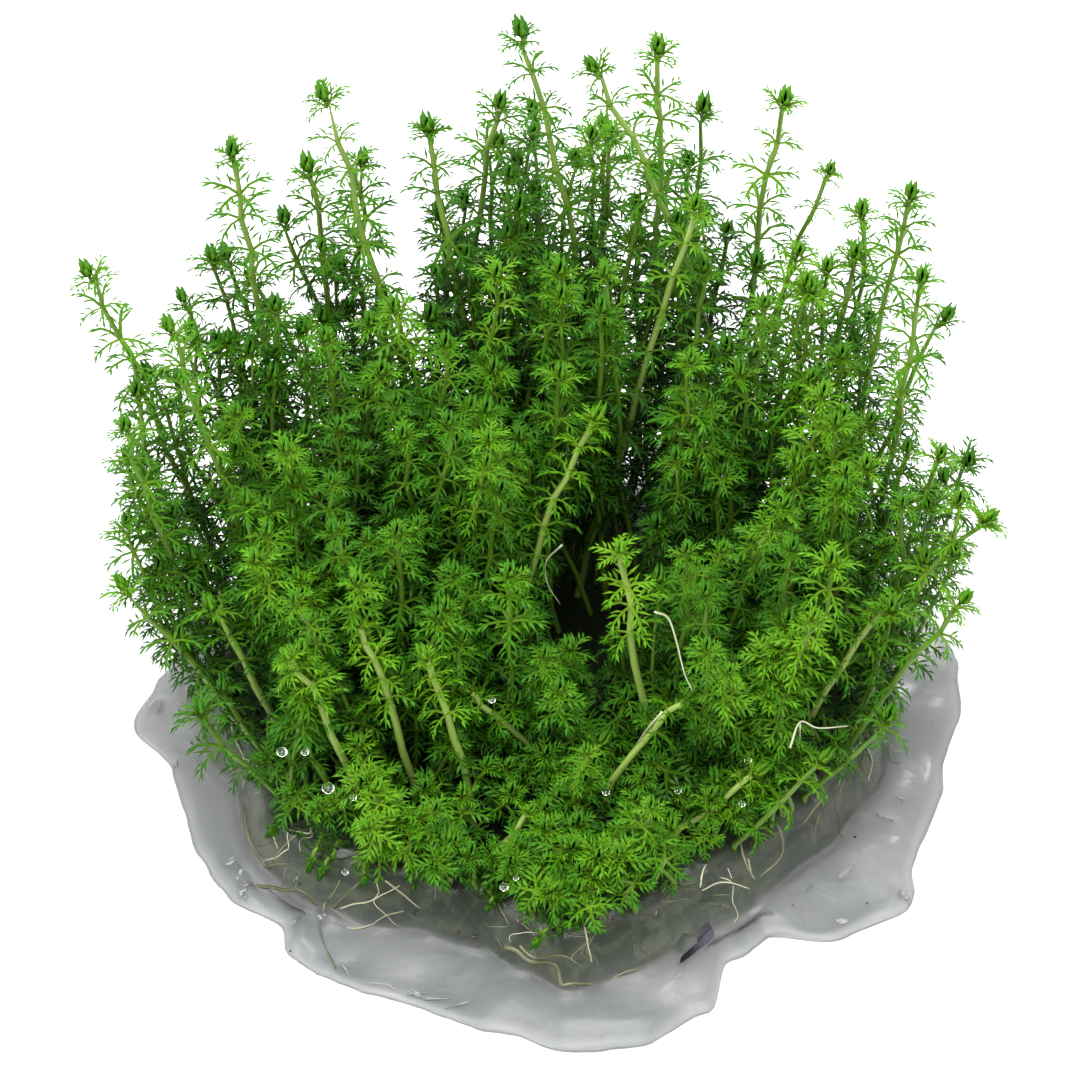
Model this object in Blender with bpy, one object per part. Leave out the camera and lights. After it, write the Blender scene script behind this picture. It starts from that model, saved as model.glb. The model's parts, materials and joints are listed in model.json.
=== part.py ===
"""Water milfoil: a clump of cup-grown shoots that stands rooted in its pad of clear nutrient gel.

The origin is the middle of the gel pad's flat underside, +Z is up and -Y is the front.
Every length below is in millimetres and becomes metres through MM.
"""
import math

import bmesh
import bpy
import numpy as np
from mathutils import Matrix, Vector

MM = 0.001
COLLECTION = "water_milfoil"
CUTTERS = "water_milfoil_cutters"

# Gel pad: a low block with a thin, ragged skirt round its foot
GEL_TOP = 7.5
GEL_SEGMENTS = 44
# Edge of the skirt, going round from the left: angle from +X in degrees, radius
SKIRT_EDGE = ((-176, 40), (-163, 39), (-148, 39.3), (-138, 37.2), (-133, 39.4), (-122, 38.8),
              (-111, 38.4), (-98, 39.7), (-85, 42), (-77, 41.7), (-67, 40), (-58, 35), (-50, 34.8),
              (-41, 40.2), (-30, 43), (-23, 40.8), (-4, 41.7), (10, 44.4), (21, 45.8), (42, 43),
              (62, 41), (88, 42.5), (112, 41), (140, 41), (160, 42.5), (174, 44))
# Foot of the block, where the skirt starts
BLOCK_FOOT = ((-178, 36), (-167, 33.4), (-153, 34.4), (-141, 34), (-130, 32), (-117, 29.6),
              (-104, 29.6), (-95, 31.8), (-87, 34.8), (-79, 33.4), (-58, 31), (-38, 31.2),
              (-22, 32.8), (-8, 35.4), (12, 37), (60, 36.4), (110, 36), (150, 37), (168, 39))
# Rings of the gel's surface from the underside in: which outline, how far outside it, height
GEL_RINGS = ((SKIRT_EDGE, -0.6, 0.0), (SKIRT_EDGE, 0.0, 0.55), (SKIRT_EDGE, -0.8, 1.15),
             (BLOCK_FOOT, 0.9, 2.3), (BLOCK_FOOT, -1.3, 5.1), (BLOCK_FOOT, -3.6, 7.1),
             (BLOCK_FOOT, -15.0, GEL_TOP))
# A lens-shaped tear where the skirt has come away from the block
TEAR_CENTRE = (14.6, -29.6, 3.3)
TEAR_SIZE = (5.4, 2.0, 2.6)
TEAR_TURN = 48

# Shoots: a five-sided stem whose whorls of five leaves grow from it
STEM_SIDES = 5
STEM_RADIUS = 0.45
TIP_RADIUS = 0.34
BUD_RADIUS = 0.95
BUD_LENGTH = 3.0
WHORL_PITCH = 8.0
WHORL_HEIGHT = 0.9
WHORL_TWIST = 36
LEAF_LENGTH = 3.7
LEAF_LEAST = 1.0
LEAF_CLEARANCE = 0.3
SOCKET_DEPTH = 2.6
SOCKET_GAP = 0.4
SOCKET_FLOOR_GAP = 0.35
# Each shoot: foot x, y on the gel, tip x, y, z, and how early it leans out (0 late, 1 at once)
BACK_SHOOTS = ((7, 27, -3, 27, 78, 0.3), (20, 24, 4, 25, 75, 0.1), (13, 32, 11, 29, 74, 0.9),
               (-11, 20, -23, 23, 73, 0.4), (-25, 18, -32, 18, 70, 0.7),
               (-4, 23, -12.5, 26, 66, 0.6), (-13, 32, -5, 32, 64, 0.4),
               (22, 32, 24, 28, 68, 0.2), (-21, 28, -25, 30, 57, 0.5), (4, 34, 6.5, 35, 57, 0.5),
               (29, 24, 31.5, 22, 52, 0.4))
SIDE_SHOOTS = ((28, 16, 36.5, 16, 66, 0.6), (33, 10, 37.5, 9, 61, 0.7),
               (-32, 10, -47, 12, 59, 0.5), (-28, 3, -38.5, 6, 57, 0.5),
               (-34, -1, -43, 1, 48, 0.7), (-31, -7, -44, -4, 30, 0.6),
               (-28, -13, -36, -12, 20, 0.8), (33, -2, 45, -2, 37.5, 0.1),
               (35, 4.5, 40, 4, 41, 0.5), (30, -8, 42.5, -8, 32, 0.5),
               (28, -14, 35, -11, 18, 0.8))
MIDDLE_SHOOTS = ((-5, 1, 5, 6, 44.5, 0.2), (3, 16, 15, 21, 60, 0.5), (12, 9, 14.5, 12, 47, 0.5),
                 (-10, 11, -8, 10, 42, 0.5), (-15, -3, -15.5, -4, 38, 0.5),
                 (-4, -8, -4, -9, 37, 0.5), (10, -10, 7, -8.5, 40, 0.3), (16, 0, 24.5, 2, 36, 0.4),
                 (-19, 12, -23, 12, 50, 0.5), (-22, 4, -27, 2, 44, 0.5), (-23, -4, -30, -6, 36, 0.5),
                 (20, 15, 22, 15, 52, 0.5), (23, 7, 28, 8, 46, 0.5), (-13, 5, -15, 5, 43, 0.5))
FRONT_SHOOTS = ((-20, -14, -27, -14, 30, 0.2), (-14, -13, -20, -10, 31, 0.2),
                (-8, -15, -13, -13, 29, 0.2), (12, -20, 22, -17, 16, 0.4),
                (5, -16, 15, -14, 24, 0.2), (25, -8, 35, -5, 28, 0.3), (22, -13, 27, -11, 33, 0.2),
                (-3, -22, -4, -28, 14, 0.5), (4, -23, 5, -28, 15, 0.5),
                (-10, -21, -12, -28, 13, 0.5), (-16, -20, -19, -24, 15, 0.5),
                (19, -20, 28.5, -16, 17, 0.6))
SHOOTS = BACK_SHOOTS + SIDE_SHOOTS + MIDDLE_SHOOTS + FRONT_SHOOTS

# Roots: thin strands that leave the block and run down over its wall, as x, y on the gel
ROOT_RADIUS = 0.3
ROOT_LIFT = 0.75
ROOTS = (((-24, -17), (-27.5, -17), (-30, -15.5), (-31.5, -12), (-31.5, -8.5)),
         ((-22, -18.5), (-24, -20.5), (-27, -21.3), (-30, -21), (-32.5, -20)),
         ((-19, -21), (-20.5, -23), (-22.5, -25.5), (-23.3, -28.5), (-22.3, -31.5)),
         ((-12.5, -22.5), (-14, -25), (-17, -26.3), (-20, -26)),
         ((-3.5, -27), (-1, -31), (1, -34), (3.5, -34.8), (6, -33.6), (9.2, -32.4)),
         ((18.2, -14.5), (19.2, -17), (20.4, -19.5), (22.3, -22.5)),
         ((24.5, -14.5), (25.8, -17), (24.8, -19.8), (23, -20.8)))

GREENS = {"back": (0.055, 0.20, 0.018, 1), "side": (0.10, 0.29, 0.02, 1),
          "middle": (0.085, 0.27, 0.015, 1), "front": (0.16, 0.40, 0.025, 1)}


def clear_scene():
    for thing in list(bpy.data.objects):
        bpy.data.objects.remove(thing, do_unlink=True)


def make_collection(name):
    group = bpy.data.collections.new(name)
    bpy.context.scene.collection.children.link(group)
    return group


def principled(name, colour, roughness, metallic=0.0, **inputs):
    material = bpy.data.materials.new(name)
    material.use_nodes = True
    shader = material.node_tree.nodes["Principled BSDF"]
    shader.inputs["Base Color"].default_value = colour
    shader.inputs["Roughness"].default_value = roughness
    shader.inputs["Metallic"].default_value = metallic
    for socket, value in inputs.items():
        shader.inputs[socket.replace("_", " ")].default_value = value
    return material


def add_object(name, bm, group, material):
    bmesh.ops.triangulate(bm, faces=bm.faces)
    bmesh.ops.recalc_face_normals(bm, faces=bm.faces)
    mesh = bpy.data.meshes.new(name)
    bm.to_mesh(mesh)
    bm.free()
    mesh.materials.append(material)
    thing = bpy.data.objects.new(name, mesh)
    group.objects.link(thing)
    return thing


def outline_radius(outline, angle):
    """Radius of a closed outline at an angle in degrees, eased from one point to the next."""
    first = outline[0][0]
    angle = first + (angle - first) % 360
    points = outline + ((first + 360, outline[0][1]),)
    for (a0, r0), (a1, r1) in zip(points, points[1:]):
        if angle <= a1:
            share = (angle - a0) / (a1 - a0)
            return r0 + (r1 - r0) * share * share * (3 - 2 * share)
    return outline[0][1]


def gel_height(x, y):
    """Height of the gel's top surface over a point, in millimetres."""
    angle, radius = math.degrees(math.atan2(y, x)), math.hypot(x, y)
    rings = [(outline_radius(line, angle) + out, z) for line, out, z in GEL_RINGS[2:]]
    if radius <= rings[-1][0]:
        return GEL_TOP
    for (r0, z0), (r1, z1) in zip(rings, rings[1:]):
        if radius >= r1:
            return z0 + (z1 - z0) * min(max((r0 - radius) / (r0 - r1), 0), 1)
    return 0.0


def put_on_ring(verts, ring):
    line, out, height = ring
    for vert in verts:
        angle = math.atan2(vert.co.y, vert.co.x)
        radius = outline_radius(line, math.degrees(angle)) + out
        vert.co = Vector((radius * math.cos(angle), radius * math.sin(angle), height)) * MM


def make_gel(group, material):
    bm = bmesh.new()
    bmesh.ops.create_cone(bm, cap_ends=True, segments=GEL_SEGMENTS, radius1=1, radius2=1, depth=1)
    low = [vert for vert in bm.verts if vert.co.z < 0]
    cap = max(bm.faces, key=lambda face: face.calc_center_median().z)
    put_on_ring(low, GEL_RINGS[0])
    put_on_ring(cap.verts, GEL_RINGS[1])
    for ring in GEL_RINGS[2:]:
        cap = bmesh.ops.extrude_discrete_faces(bm, faces=[cap])["faces"][0]
        put_on_ring(cap.verts, ring)
    return add_object("gel_pad", bm, group, material)


def cut(target, cutter):
    cutter.hide_render = True
    cutter.display_type = "WIRE"
    modifier = target.modifiers.new(cutter.name, "BOOLEAN")
    modifier.operation = "DIFFERENCE"
    modifier.solver = "EXACT"
    modifier.object = cutter


def make_tear(group, material):
    bm = bmesh.new()
    place = Matrix.Translation(Vector(TEAR_CENTRE) * MM) @ Matrix.Rotation(math.radians(TEAR_TURN), 4, "Z")
    size = Matrix.Diagonal((*(side / 2 * MM for side in TEAR_SIZE), 1))
    bmesh.ops.create_icosphere(bm, subdivisions=1, radius=1, matrix=place @ size)
    return add_object("tear_cutter", bm, group, material)


def centreline(row):
    """A smooth run from a shoot's foot to its tip, as a function of a share from 0 to 1."""
    foot = Vector((row[0], row[1], GEL_TOP))
    tip = Vector(row[2:5])
    knee = foot.lerp(Vector((tip.x, tip.y, GEL_TOP)), row[5])
    knee.z = GEL_TOP + (tip.z - GEL_TOP) * 0.55
    return lambda t: (1 - t) ** 2 * foot + 2 * t * (1 - t) * knee + t * t * tip


def run_length(line, steps=24):
    points = [line(i / steps) for i in range(steps + 1)]
    return sum((b - a).length for a, b in zip(points, points[1:]))


def whorl_shares(line):
    """Where the whorls sit along a shoot, evenly spaced below its bud."""
    length = run_length(line)
    count = max(2, round((length - BUD_LENGTH) / WHORL_PITCH))
    top = 1 - BUD_LENGTH * 0.7 / length
    return [top * (i + 1) / count for i in range(count)]


def leaf_lengths(lines):
    """Leaf length of every whorl, cut short where a neighbouring shoot stands close."""
    samples = [np.array([line(i / 40) for i in range(41)]) for line in lines]
    lengths = []
    for number, line in enumerate(lines):
        others = np.concatenate(samples[:number] + samples[number + 1:])
        row = []
        for share in whorl_shares(line):
            nearest = np.min(np.linalg.norm(others - np.array(line(share)), axis=1))
            row.append(min(LEAF_LENGTH, nearest / 2 - LEAF_CLEARANCE))
        lengths.append(row)
    return lengths


def station(point, direction, radius, twist):
    """Places a unit ring square to the stem at a point."""
    turn = Vector((0, 0, 1)).rotation_difference(direction).to_matrix().to_4x4()
    spin = Matrix.Rotation(math.radians(twist), 4, "Z")
    return Matrix.Translation(point * MM) @ turn @ spin @ Matrix.Scale(radius * MM, 4)


def stem_foot(line):
    """Bottom end of a stem in its socket and the straight direction in which it leaves it."""
    first = line(whorl_shares(line)[0])
    direction = (first - line(0)).normalized()
    return line(0) - direction * (SOCKET_DEPTH - SOCKET_FLOOR_GAP), direction


def shoot_stations(line):
    """Rings from the foot up, and for each whorl the number of its upper ring and its middle."""
    foot, direction = stem_foot(line)
    rings = [(foot, direction, STEM_RADIUS)]
    whorls = []
    for share in whorl_shares(line):
        middle = line(share)
        along = (line(share + 0.01) - line(share - 0.01)).normalized()
        radius = STEM_RADIUS + (TIP_RADIUS - STEM_RADIUS) * share
        rings.append((middle - along * WHORL_HEIGHT / 2, along, radius))
        rings.append((middle + along * WHORL_HEIGHT / 2, along, radius))
        whorls.append((len(rings) - 1, middle, along, share))
    along = (line(1) - line(0.97)).normalized()
    rings.append((line(1) - along * BUD_LENGTH * 0.4, along, BUD_RADIUS))
    return rings, whorls, line(1)


def leaf_rise(share):
    """Leaves near the bud still point up, those of the old whorls hang a little."""
    return 0.75 * share ** 3 - 0.1


def make_shoot(name, line, lengths, group, material):
    rings, whorls, tip = shoot_stations(line)
    twist_of = [WHORL_TWIST * ((number + 1) // 2) for number in range(len(rings))]
    places = [station(*ring, twist) for ring, twist in zip(rings, twist_of)]
    bm = bmesh.new()
    bmesh.ops.create_cone(bm, cap_ends=True, segments=STEM_SIDES, radius1=1, radius2=1, depth=2)
    low = [vert for vert in bm.verts if vert.co.z < 0]
    cap = max(bm.faces, key=lambda face: face.calc_center_median().z)
    bmesh.ops.transform(bm, matrix=places[0] @ Matrix.Translation((0, 0, 1)), verts=low)
    bmesh.ops.transform(bm, matrix=places[1] @ Matrix.Translation((0, 0, -1)), verts=cap.verts)
    sides = {}
    for number in range(2, len(places)):
        cap = bmesh.ops.extrude_discrete_faces(bm, faces=[cap])["faces"][0]
        step = places[number] @ places[number - 1].inverted()
        bmesh.ops.transform(bm, matrix=step, verts=cap.verts)
        sides[number] = [face for edge in cap.edges for face in edge.link_faces if face != cap]
    point = bmesh.ops.poke(bm, faces=[cap])["verts"][0]
    point.co = tip * MM
    for (number, middle, along, share), length in zip(whorls, lengths):
        if length < LEAF_LEAST:
            continue
        for vert in bmesh.ops.poke(bm, faces=sides[number])["verts"]:
            out = (vert.co - middle * MM).normalized()
            vert.co = (middle + (out + along * leaf_rise(share)).normalized() * length) * MM
    return add_object(name, bm, group, material)


def make_sockets(lines, group, material):
    bm = bmesh.new()
    reach = SOCKET_DEPTH + 3.0
    for line in lines:
        foot, direction = stem_foot(line)
        bottom = foot - direction * SOCKET_FLOOR_GAP
        place = station(bottom + direction * reach / 2, direction, 1, 0)
        bmesh.ops.create_cone(bm, cap_ends=True, segments=STEM_SIDES + 1, matrix=place,
                              radius1=STEM_RADIUS + SOCKET_GAP, radius2=STEM_RADIUS + SOCKET_GAP,
                              depth=reach)
    return add_object("socket_cutter", bm, group, material)


def make_root(name, route, group, material):
    """A strand as a bevelled curve, turned into a mesh so that its end caps can be welded."""
    points = []
    for (x0, y0), (x1, y1) in zip(route, route[1:]):
        points += [(x0, y0), ((x0 + x1) / 2, (y0 + y1) / 2)]
    points.append(route[-1])
    curve = bpy.data.curves.new(name, "CURVE")
    curve.dimensions = "3D"
    curve.bevel_depth = ROOT_RADIUS * MM
    curve.bevel_resolution = 0
    curve.use_fill_caps = True
    spline = curve.splines.new("POLY")
    spline.points.add(len(points) - 1)
    for spot, (x, y) in zip(spline.points, points):
        spot.co = (x * MM, y * MM, (gel_height(x, y) + ROOT_LIFT) * MM, 1)
    guide = bpy.data.objects.new(name + "_curve", curve)
    group.objects.link(guide)
    bpy.context.view_layer.update()
    evaluated = guide.evaluated_get(bpy.context.evaluated_depsgraph_get())
    bm = bmesh.new()
    bm.from_mesh(bpy.data.meshes.new_from_object(evaluated))
    bmesh.ops.transform(bm, matrix=guide.matrix_world, verts=bm.verts)
    bmesh.ops.remove_doubles(bm, verts=bm.verts, dist=0.00001)
    bpy.data.objects.remove(guide, do_unlink=True)
    return add_object(name, bm, group, material)


def main():
    clear_scene()
    group, cutters = make_collection(COLLECTION), make_collection(CUTTERS)
    gel_finish = principled("clear_gel", (0.72, 0.74, 0.74, 1), 0.12, IOR=1.34, Transmission_Weight=0.9)
    root_finish = principled("pale_root", (0.42, 0.40, 0.22, 1), 0.45)
    greens = {bed: principled(bed + "_green", colour, 0.5) for bed, colour in GREENS.items()}
    beds = ["back"] * len(BACK_SHOOTS) + ["side"] * len(SIDE_SHOOTS)
    beds += ["middle"] * len(MIDDLE_SHOOTS) + ["front"] * len(FRONT_SHOOTS)
    lines = [centreline(row) for row in SHOOTS]

    gel = make_gel(group, gel_finish)
    cut(gel, make_sockets(lines, cutters, gel_finish))
    cut(gel, make_tear(cutters, gel_finish))
    for number, (line, bed, lengths) in enumerate(zip(lines, beds, leaf_lengths(lines)), 1):
        make_shoot(f"shoot_{number:02d}", line, lengths, group, greens[bed])
    for number, route in enumerate(ROOTS, 1):
        make_root(f"root_{number}", route, group, root_finish)


main()
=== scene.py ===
import json
import math
import random

import bmesh
import bpy
from mathutils import Matrix, Vector, noise

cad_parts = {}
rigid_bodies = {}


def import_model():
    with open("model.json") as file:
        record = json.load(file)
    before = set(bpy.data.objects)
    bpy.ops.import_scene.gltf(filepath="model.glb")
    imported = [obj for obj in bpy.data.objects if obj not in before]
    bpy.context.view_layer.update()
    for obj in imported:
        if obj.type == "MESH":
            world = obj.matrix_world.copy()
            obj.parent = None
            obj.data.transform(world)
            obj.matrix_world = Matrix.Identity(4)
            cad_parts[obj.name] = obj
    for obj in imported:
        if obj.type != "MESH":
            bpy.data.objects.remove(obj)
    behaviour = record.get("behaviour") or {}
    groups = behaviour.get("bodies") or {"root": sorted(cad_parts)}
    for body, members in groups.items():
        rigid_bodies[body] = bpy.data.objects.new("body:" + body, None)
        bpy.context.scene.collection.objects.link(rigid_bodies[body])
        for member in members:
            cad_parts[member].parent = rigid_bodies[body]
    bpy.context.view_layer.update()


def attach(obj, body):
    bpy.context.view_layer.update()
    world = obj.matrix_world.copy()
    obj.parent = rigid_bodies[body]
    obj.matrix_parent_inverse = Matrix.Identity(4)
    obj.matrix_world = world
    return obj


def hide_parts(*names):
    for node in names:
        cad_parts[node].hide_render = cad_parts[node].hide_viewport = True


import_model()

MM = 0.001
UP = Vector((0, 0, 1))
SEED = 41
noise.seed_set(SEED)

# The gel pad is a low block with a thin, ragged skirt round its foot. Lengths are in mm throughout.
# Outlines give angle from +X in degrees and radius
GEL_TOP = 7.5
SKIRT_EDGE = (
    (-176, 40), (-163, 39), (-148, 39.3), (-138, 37.2), (-133, 39.4), (-122, 38.8), (-111, 38.4), (-98, 39.7),
    (-85, 42), (-77, 41.7), (-67, 40), (-58, 35), (-50, 34.8), (-41, 40.2), (-30, 43), (-23, 40.8),
    (-4, 41.7), (10, 44.4), (21, 45.8), (42, 43), (62, 41), (88, 42.5), (112, 41), (140, 41), (160, 42.5),
    (174, 44))
BLOCK_FOOT = (
    (-178, 36), (-167, 33.4), (-153, 34.4), (-141, 34), (-130, 32), (-117, 29.6), (-104, 29.6), (-95, 31.8),
    (-87, 34.8), (-79, 33.4), (-58, 31), (-38, 31.2), (-22, 32.8), (-8, 35.4), (12, 37), (60, 36.4),
    (110, 36), (150, 37), (168, 39))
# Rings of the gel's surface from the underside in: which outline, how far outside it, height,
# and how far it is painted dark olive: by roots on the wall, by painted shade on the top under the clump, and
# below 0 paler at the thin edge as painted light
GEL_RINGS = (
    (SKIRT_EDGE, -1.6, 0.0, -0.2), (SKIRT_EDGE, -0.5, 0.02, -0.2), (SKIRT_EDGE, 0.0, 0.22, -0.2),
    (SKIRT_EDGE, -0.35, 0.5, -0.1), (SKIRT_EDGE, -1.4, 0.85, 0.0), (SKIRT_EDGE, -3.0, 1.15, 0.0),
    (BLOCK_FOOT, 1.5, 1.5, 0.0), (BLOCK_FOOT, 0.3, 1.9, 0.3), (BLOCK_FOOT, -0.1, 3.2, 0.72),
    (BLOCK_FOOT, -1.1, 5.2, 0.8), (BLOCK_FOOT, -2.2, 6.6, 0.85), (BLOCK_FOOT, -3.8, 7.4, 0.9),
    (BLOCK_FOOT, -7.0, 7.7, 1.0), (BLOCK_FOOT, -15.0, 7.6, 1.0), (BLOCK_FOOT, -25.0, 7.5, 1.0))
GEL_SEGMENTS = 300
GEL_STEPS = 3
# Rings further in than this lie flat on the block's top and stand wider apart
FLAT_TOP = -14
# How far the skirt's edge wanders, where its noise is read, and how fine it is
RAGGED_EDGE = ((0.55, 0.1, 7), (0.30, 0.2, 22))
# How high the gel's waves are, and how long
GEL_WAVES = ((0.34, 6.0), (0.12, 1.9))
# Folds and dents of the skirt: from x, y to x, y, half width and height
GEL_FOLDS = (
    (21.7, -22.7, 31.5, -16.0, 1.1, 0.55), (31.5, -16.0, 36.0, -14.5, 1.2, 0.7),
    (33.5, -10.0, 36.5, -12.0, 1.0, 0.5), (27.0, -24.5, 33.0, -21.0, 1.8, -0.45),
    (37.0, 3.0, 38.5, 11.0, 1.8, 0.45), (-41.0, 6.0, -38.0, 3.0, 1.3, 0.6),
    (-31.9, -18.5, -30.4, -23.5, 0.55, 0.6), (-32.6, -21.0, -31.0, -25.0, 0.6, -0.35),
    (-25.9, -24.8, -25.6, -27.6, 0.9, 0.65), (-22.8, -24.4, -22.4, -25.4, 0.5, 0.5),
    (-23.5, -33.0, -10.0, -38.0, 0.9, 0.4), (-20.0, -30.5, -8.0, -34.5, 1.6, -0.3),
    (12.2, -33.6, 16.2, -31.6, 1.1, 0.6), (-38.5, -10.0, -35.0, -19.0, 1.6, 0.3),
    (2.0, -38.5, 12.0, -38.0, 1.0, 0.3), (38.5, -8.0, 40.5, -3.0, 1.2, 0.3))

# Main shoots, one for each solid: foot x, y on the gel, tip x, y, z, how early it leans out
BACK_SHOOTS = (
    (7, 27, -3, 27, 78, 0.3), (20, 24, 4, 25, 75, 0.1), (13, 32, 11, 29, 74, 0.9),
    (-11, 20, -23, 23, 73, 0.4), (-25, 18, -32, 18, 70, 0.7), (-4, 23, -12.5, 26, 66, 0.6),
    (-13, 32, -5, 32, 64, 0.4), (22, 32, 24, 28, 68, 0.2), (-21, 28, -25, 30, 57, 0.5),
    (4, 34, 6.5, 35, 57, 0.5), (29, 24, 31.5, 22, 52, 0.4))
SIDE_SHOOTS = (
    (28, 16, 36.5, 16, 66, 0.6), (33, 10, 37.5, 9, 61, 0.7), (-32, 10, -47, 12, 59, 0.5),
    (-28, 3, -38.5, 6, 57, 0.5), (-34, -1, -43, 1, 48, 0.7), (-31, -7, -44, -4, 30, 0.6),
    (-28, -13, -36, -12, 20, 0.8), (33, -2, 45, -2, 37.5, 0.1), (35, 4.5, 40, 4, 41, 0.5),
    (30, -8, 42.5, -8, 32, 0.5), (28, -14, 35, -11, 18, 0.8))
MIDDLE_SHOOTS = (
    (-5, 1, 5, 6, 44.5, 0.2), (3, 16, 15, 21, 60, 0.5), (12, 9, 14.5, 12, 47, 0.5),
    (-10, 11, -8, 10, 42, 0.5), (-15, -3, -15.5, -4, 38, 0.5), (-4, -8, -4, -9, 37, 0.5),
    (10, -10, 7, -8.5, 40, 0.3), (16, 0, 24.5, 2, 36, 0.4), (-19, 12, -23, 12, 50, 0.5),
    (-22, 4, -27, 2, 44, 0.5), (-23, -4, -30, -6, 36, 0.5), (20, 15, 22, 15, 52, 0.5),
    (23, 7, 28, 8, 46, 0.5), (-13, 5, -15, 5, 43, 0.5))
FRONT_SHOOTS = (
    (-20, -14, -27, -14, 30, 0.2), (-14, -13, -20, -10, 31, 0.2), (-8, -15, -13, -13, 29, 0.2),
    (12, -20, 22, -17, 16, 0.4), (5, -16, 15, -14, 24, 0.2), (25, -8, 35, -5, 28, 0.3),
    (22, -13, 27, -11, 33, 0.2), (-3, -22, -4, -28, 14, 0.5), (4, -23, 5, -28, 15, 0.5),
    (-10, -21, -12, -28, 13, 0.5), (-16, -20, -19, -24, 15, 0.5), (19, -20, 28.5, -16, 17, 0.6))
BEDS = {"back": BACK_SHOOTS, "side": SIDE_SHOOTS, "middle": MIDDLE_SHOOTS, "front": FRONT_SHOOTS}

# Main shoots that show a bare stem in the photograph: the shares between which it is seen bare
BARE_STEMS = {23: (0.2, 0.4), 24: (0.55, 0.85), 29: (0.1, 0.6), 37: (0.1, 0.5), 38: (0.1, 0.5),
              39: (0.1, 0.5), 40: (0.2, 0.5), 41: (0.2, 0.65), 42: (0.3, 0.6)}
# A stem that is seen further up than this still has its leaves, set wide apart
LEAFY_STEM = 0.7
# Small shoots that stand out in the photograph with pale bare stems, as rows like the main ones
PALE_SHOOTS = (
    (14.5, -13, 23.5, -15, 15, 0.5), (31, 1.5, 33.7, -2, 24, 0.4), (17, 8, 23, 1, 34, 0.6),
    (-27, -6, -35, -4, 27, 0.6), (2, -12, -9, -11, 22, 0.5), (-6, -23, -1.5, -21, 15, 0.5))
# Small shoots that fill the clump out where it bulges over the block at the left and right
BULGE_SHOOTS = (
    (33, -3, 38.5, -1, 31, 0.9), (31, -6, 35, -3, 25, 0.8), (34, -2, 41.5, -2, 33, 0.7),
    (33, 1, 36, 0, 38, 1.0), (34, 3, 42, 1, 38, 0.8), (30, -5, 35, -6, 29, 0.9), (34, 0, 39, 3, 35, 1.0),
    (-33, 2, -43, 3, 42, 0.9), (-34, -1, -43, -1, 36, 0.9), (-33, -4, -41, -2, 28, 0.9),
    (-32, -5, -38, -4, 23, 0.9), (-33, 0, -40, -1, 30, 1.0), (-33, 4, -41, 2, 39, 1.0),
    (-30, -8, -34, -8, 19, 0.9), (-32, 7, -42, 8, 46, 1.0), (-25, -14, -27, -17, 12.5, 0.5),
    (-22, -16, -24.5, -19, 12.5, 0.5), (-27, -11, -30, -13.5, 14, 0.5), (-18, -19, -20, -22, 12, 0.5),
    (18, -17, 19.5, -20, 13, 0.5), (15, -19, 16.5, -22.5, 12.5, 0.5), (21, -15, 22.5, -17, 14, 0.5),
    (24, -12, 26.5, -13.5, 15, 0.5), (27, -9, 30.5, -10.5, 14, 0.5))

# Shoots
STEM_RADIUS = 0.40
BARE_GIRTH = 1.15
MAIN_SIZE = 1.06
WHORL_PITCH = {"back": 5.2, "side": 4.5, "middle": 4.0, "front": 3.2}
# Share by which the whorls crowd towards the tip, and where the first one is, in pitches
FRONT_CROWDING = 0.5
CROWDING = {"back": 0.2, "side": 0.25, "middle": 0.35, "front": FRONT_CROWDING}
FIRST_WHORL = 0.8
FRONT_FIRST_WHORL = 0.2
# A shoot's curve turns at this share of its height
KNEE_HEIGHT = 0.55
# How far the stems go down into the gel, and how far inside the block's foot they leave it
BURIED = 1.0
FOOT_INSET = 3.0
# How far a whorl stands off its shoot's line, and a small shoot off a plain curve, with its bends
SWAY = 0.4
WANDER = 2.2
BENDS = 2.2
# What grows at a vertex of a shoot
BARE, LEAFY, BUDDING = 0, 1, 2
# Nearest that two feet stand, and how far other shoots keep from the view of a bare stem
FOOT_SPACING = 1.15
STEM_CLEARANCE = 2.6

# Leaves: the rise and the fall of the midrib in each form, and its width at shares along it
LEAVES = 5
LEAF_LENGTH = 4.2
LEAF_SIZE = {"back": 1.0, "side": 0.94, "middle": 0.86, "front": 0.84}
LEAF_FORMS = ((0.55, 0.74), (0.40, 0.70), (0.25, 0.58), (0.62, 0.92), (0.30, 0.50), (0.48, 0.84))
MIDRIB_WIDTHS = ((0.0, 0.10), (0.33, 0.08), (0.66, 0.08))
MIDRIB_HEIGHT = 0.035
# Lobes, as shares of the leaf, with the angle in degrees at which they leave the midrib
LOBE_PAIRS = (0.26, 0.48, 0.70)
LOBE_SPREAD = 46
LOBE_LENGTH = 0.44
LOBE_WIDTH = 0.070
FINE_LOBE_WIDTH = 1.25 * LOBE_WIDTH
# Where a lobe is widest, and how high its ridge is as a share of its width
LOBE_MIDDLE = 0.45
LOBE_RIDGE = 0.3
# Rings of leaflets in a bud: how many, lean in degrees, length and width as shares of the bud
BUD_LENGTH = 3.0
BUD_FORMS = 3
BUD_RINGS = ((2, 3, 1.0, 0.42), (4, 9, 0.92, 0.30), (5, 20, 0.72, 0.26))

# How many small shoots and fine roots are tried
FILLERS = 500
EDGE_FILLERS = 240
CARPET = 230
RIM_SHOOTS = 64
WALL_ROOTS = 110

# Fine roots: how far inside the block's foot they start, how far out they run and how deep they lie
WALL_ROOT_POINTS = 22
WALL_ROOT_INSET = 4.0
WALL_ROOT_RUN = 5.5
WALL_ROOT_DEPTH = 0.10
ROOT_SOLIDS = 7

# How high the clump stands at each y: low at the front edge, highest at the back
CANOPY = ((-34, 11), (-24, 15), (-15, 27), (-8, 34), (2, 40), (14, 50), (26, 59), (40, 57))
FILLER_HEIGHTS = (0.45, 0.6, 0.72, 0.8, 0.88, 0.95, 1.02)
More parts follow.
